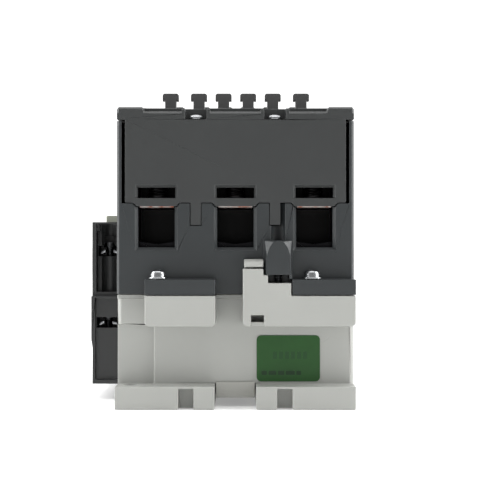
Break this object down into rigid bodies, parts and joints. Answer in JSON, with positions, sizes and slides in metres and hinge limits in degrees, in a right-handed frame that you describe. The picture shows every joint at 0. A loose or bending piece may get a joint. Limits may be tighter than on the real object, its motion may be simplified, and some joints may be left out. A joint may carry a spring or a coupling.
{
  "type": "din rail contactor",
  "caption": "Power contactor with lift-cage cable clamps, coil terminals, side auxiliary contact block and a latch for a top-hat rail.",
  "frame": {"origin": "centre of the bounding box at its lowest face, on the mounting plane", "axes": "+Z out of the front, the near terminal end faces -Y, +X to the right seen from the near end"},
  "size_m": [0.1026, 0.15, 0.123],
  "materials": {
    "dark_plastic": "fine moulded grain, dark grey",
    "cover_plastic": "fine moulded grain, dark grey",
    "light_plastic": "fine moulded grain, light warm grey",
    "slide_plastic": "smooth moulded plastic, beige grey",
    "label": "printed sticker, satin",
    "chrome": "bright plated",
    "zinc": "zinc plated",
    "copper": "tin plated copper",
    "iron": "laminated electrical steel",
    "winding": "enamelled copper wire",
    "spring": "drawn wire"
  },
  "bodies": {
    "contactor_body": {"base_housing": "light_plastic", "main_housing": "dark_plastic", "front_panel": "dark_plastic", "inspection_label": "label", "terminal_cover_near": "cover_plastic", "terminal_cover_far": "cover_plastic", "aux_housing": "dark_plastic", "magnet_core": "iron", "coil_bobbin": "light_plastic", "coil_winding": "winding", "return_spring": "spring", "latch_spring": "spring", "arc_chute_1": "iron", "arc_chute_2": "iron", "arc_chute_3": "iron", "housing_screw_near_1": "chrome", "housing_screw_near_2": "chrome", "cover_screw_near_1": "chrome", "cover_screw_near_2": "chrome", "terminal_bar_near_1": "copper", "terminal_bar_near_2": "copper", "terminal_bar_near_3": "copper", "housing_screw_far_1": "chrome", "housing_screw_far_2": "chrome", "cover_screw_far_1": "chrome", "cover_screw_far_2": "chrome", "terminal_bar_far_1": "copper", "terminal_bar_far_2": "copper", "terminal_bar_far_3": "copper"},
    "contact_carrier": {"contact_carrier": "slide_plastic", "armature": "iron", "moving_bridge_1": "copper", "moving_bridge_2": "copper", "moving_bridge_3": "copper"},
    "aux_slide": {"aux_slide": "slide_plastic"},
    "din_latch": {"din_latch": "light_plastic"},
    "clamp_screw_near_1": {"clamp_screw_near_1": "zinc"},
    "clamp_cage_near_1": {"clamp_cage_near_1": "zinc"},
    "clamp_screw_near_2": {"clamp_screw_near_2": "zinc"},
    "clamp_cage_near_2": {"clamp_cage_near_2": "zinc"},
    "clamp_screw_near_3": {"clamp_screw_near_3": "zinc"},
    "clamp_cage_near_3": {"clamp_cage_near_3": "zinc"},
    "coil_plate_near": {"coil_plate_near": "zinc"},
    "coil_screw_near": {"coil_screw_near": "zinc"},
    "aux_plate_low_near": {"aux_plate_low_near": "zinc"},
    "aux_screw_low_near": {"aux_screw_low_near": "zinc"},
    "aux_plate_high_near": {"aux_plate_high_near": "zinc"},
    "aux_screw_high_near": {"aux_screw_high_near": "zinc"},
    "clamp_screw_far_1": {"clamp_screw_far_1": "zinc"},
    "clamp_cage_far_1": {"clamp_cage_far_1": "zinc"},
    "clamp_screw_far_2": {"clamp_screw_far_2": "zinc"},
    "clamp_cage_far_2": {"clamp_cage_far_2": "zinc"},
    "clamp_screw_far_3": {"clamp_screw_far_3": "zinc"},
    "clamp_cage_far_3": {"clamp_cage_far_3": "zinc"},
    "coil_plate_far": {"coil_plate_far": "zinc"},
    "coil_screw_far": {"coil_screw_far": "zinc"},
    "aux_plate_low_far": {"aux_plate_low_far": "zinc"},
    "aux_screw_low_far": {"aux_screw_low_far": "zinc"},
    "aux_plate_high_far": {"aux_plate_high_far": "zinc"},
    "aux_screw_high_far": {"aux_screw_high_far": "zinc"}
  },
  "joints": [
    {"name": "carrier_slide", "type": "slide", "parent": "contactor_body", "child": "contact_carrier", "axis": [0, 0, -1], "range_m": [0, 0.0034], "stiffness_N_per_m": 2000, "springref_m": -0.004, "deforming": ["return_spring"]},
    {"name": "aux_slide", "type": "slide", "parent": "contactor_body", "child": "aux_slide", "axis": [0, 0, -1], "range_m": [0, 0.0034]},
    {"name": "latch_slide", "type": "slide", "parent": "contactor_body", "child": "din_latch", "axis": [0, -1, 0], "range_m": [0, 0.0035], "stiffness_N_per_m": 500, "springref_m": -0.004, "deforming": ["latch_spring"]},
    {"name": "clamp_screw_near_1_turn", "type": "hinge", "parent": "contactor_body", "child": "clamp_screw_near_1", "pos_m": [-0.0237, -0.054, 0.09], "axis": [0, 0, -1], "range_deg": [0, 3170]},
    {"name": "clamp_cage_near_1_lift", "type": "slide", "parent": "contactor_body", "child": "clamp_cage_near_1", "axis": [0, 0, 1], "range_m": [0, 0.011]},
    {"name": "clamp_screw_near_2_turn", "type": "hinge", "parent": "contactor_body", "child": "clamp_screw_near_2", "pos_m": [0.0063, -0.054, 0.09], "axis": [0, 0, -1], "range_deg": [0, 3170]},
    {"name": "clamp_cage_near_2_lift", "type": "slide", "parent": "contactor_body", "child": "clamp_cage_near_2", "axis": [0, 0, 1], "range_m": [0, 0.011]},
    {"name": "clamp_screw_near_3_turn", "type": "hinge", "parent": "contactor_body", "child": "clamp_screw_near_3", "pos_m": [0.0363, -0.054, 0.09], "axis": [0, 0, -1], "range_deg": [0, 3170]},
    {"name": "clamp_cage_near_3_lift", "type": "slide", "parent": "contactor_body", "child": "clamp_cage_near_3", "axis": [0, 0, 1], "range_m": [0, 0.011]},
    {"name": "coil_plate_near_slide", "type": "slide", "parent": "contactor_body", "child": "coil_plate_near", "axis": [0, 0, -1], "range_m": [0, 0.0024]},
    {"name": "coil_screw_near_turn", "type": "hinge", "parent": "coil_plate_near", "child": "coil_screw_near", "pos_m": [0.0225, -0.0696, 0.053], "axis": [0, 0, -1], "range_deg": [0, 1442]},
    {"name": "aux_plate_low_near_slide", "type": "slide", "parent": "contactor_body", "child": "aux_plate_low_near", "axis": [0, 0, 1], "range_m": [0, 0.0024]},
    {"name": "aux_screw_low_near_turn", "type": "hinge", "parent": "aux_plate_low_near", "child": "aux_screw_low_near", "pos_m": [-0.045, -0.032, 0.032], "axis": [0, 0, 1], "range_deg": [0, 1442]},
    {"name": "aux_plate_high_near_slide", "type": "slide", "parent": "contactor_body", "child": "aux_plate_high_near", "axis": [0, 0, 1], "range_m": [0, 0.0024]},
    {"name": "aux_screw_high_near_turn", "type": "hinge", "parent": "aux_plate_high_near", "child": "aux_screw_high_near", "pos_m": [-0.045, -0.0266, 0.06], "axis": [0, 0, 1], "range_deg": [0, 1442]},
    {"name": "clamp_screw_far_1_turn", "type": "hinge", "parent": "contactor_body", "child": "clamp_screw_far_1", "pos_m": [0.0363, 0.054, 0.09], "axis": [0, 0, -1], "range_deg": [0, 3170]},
    {"name": "clamp_cage_far_1_lift", "type": "slide", "parent": "contactor_body", "child": "clamp_cage_far_1", "axis": [0, 0, 1], "range_m": [0, 0.011]},
    {"name": "clamp_screw_far_2_turn", "type": "hinge", "parent": "contactor_body", "child": "clamp_screw_far_2", "pos_m": [0.0063, 0.054, 0.09], "axis": [0, 0, -1], "range_deg": [0, 3170]},
    {"name": "clamp_cage_far_2_lift", "type": "slide", "parent": "contactor_body", "child": "clamp_cage_far_2", "axis": [0, 0, 1], "range_m": [0, 0.011]},
    {"name": "clamp_screw_far_3_turn", "type": "hinge", "parent": "contactor_body", "child": "clamp_screw_far_3", "pos_m": [-0.0237, 0.054, 0.09], "axis": [0, 0, -1], "range_deg": [0, 3170]},
    {"name": "clamp_cage_far_3_lift", "type": "slide", "parent": "contactor_body", "child": "clamp_cage_far_3", "axis": [0, 0, 1], "range_m": [0, 0.011]},
    {"name": "coil_plate_far_slide", "type": "slide", "parent": "contactor_body", "child": "coil_plate_far", "axis": [0, 0, -1], "range_m": [0, 0.0024]},
    {"name": "coil_screw_far_turn", "type": "hinge", "parent": "coil_plate_far", "child": "coil_screw_far", "pos_m": [-0.0099, 0.0696, 0.053], "axis": [0, 0, -1], "range_deg": [0, 1442]},
    {"name": "aux_plate_low_far_slide", "type": "slide", "parent": "contactor_body", "child": "aux_plate_low_far", "axis": [0, 0, 1], "range_m": [0, 0.0024]},
    {"name": "aux_screw_low_far_turn", "type": "hinge", "parent": "aux_plate_low_far", "child": "aux_screw_low_far", "pos_m": [-0.045, 0.032, 0.032], "axis": [0, 0, 1], "range_deg": [0, 1442]},
    {"name": "aux_plate_high_far_slide", "type": "slide", "parent": "contactor_body", "child": "aux_plate_high_far", "axis": [0, 0, 1], "range_m": [0, 0.0024]},
    {"name": "aux_screw_high_far_turn", "type": "hinge", "parent": "aux_plate_high_far", "child": "aux_screw_high_far", "pos_m": [-0.045, 0.0266, 0.06], "axis": [0, 0, 1], "range_deg": [0, 1442]}
  ],
  "couplings": [
    {"joint": "aux_slide", "follows": "carrier_slide", "ratio": 1},
    {"joint": "clamp_screw_near_1_turn", "follows": "clamp_cage_near_1_lift", "rad_per_m": 5026.5},
    {"joint": "clamp_screw_near_2_turn", "follows": "clamp_cage_near_2_lift", "rad_per_m": 5026.5},
    {"joint": "clamp_screw_near_3_turn", "follows": "clamp_cage_near_3_lift", "rad_per_m": 5026.5},
    {"joint": "coil_screw_near_turn", "follows": "coil_plate_near_slide", "rad_per_m": 10472},
    {"joint": "aux_screw_low_near_turn", "follows": "aux_plate_low_near_slide", "rad_per_m": 10472},
    {"joint": "aux_screw_high_near_turn", "follows": "aux_plate_high_near_slide", "rad_per_m": 10472},
    {"joint": "clamp_screw_far_1_turn", "follows": "clamp_cage_far_1_lift", "rad_per_m": 5026.5},
    {"joint": "clamp_screw_far_2_turn", "follows": "clamp_cage_far_2_lift", "rad_per_m": 5026.5},
    {"joint": "clamp_screw_far_3_turn", "follows": "clamp_cage_far_3_lift", "rad_per_m": 5026.5},
    {"joint": "coil_screw_far_turn", "follows": "coil_plate_far_slide", "rad_per_m": 10472},
    {"joint": "aux_screw_low_far_turn", "follows": "aux_plate_low_far_slide", "rad_per_m": 10472},
    {"joint": "aux_screw_high_far_turn", "follows": "aux_plate_high_far_slide", "rad_per_m": 10472}
  ]
}
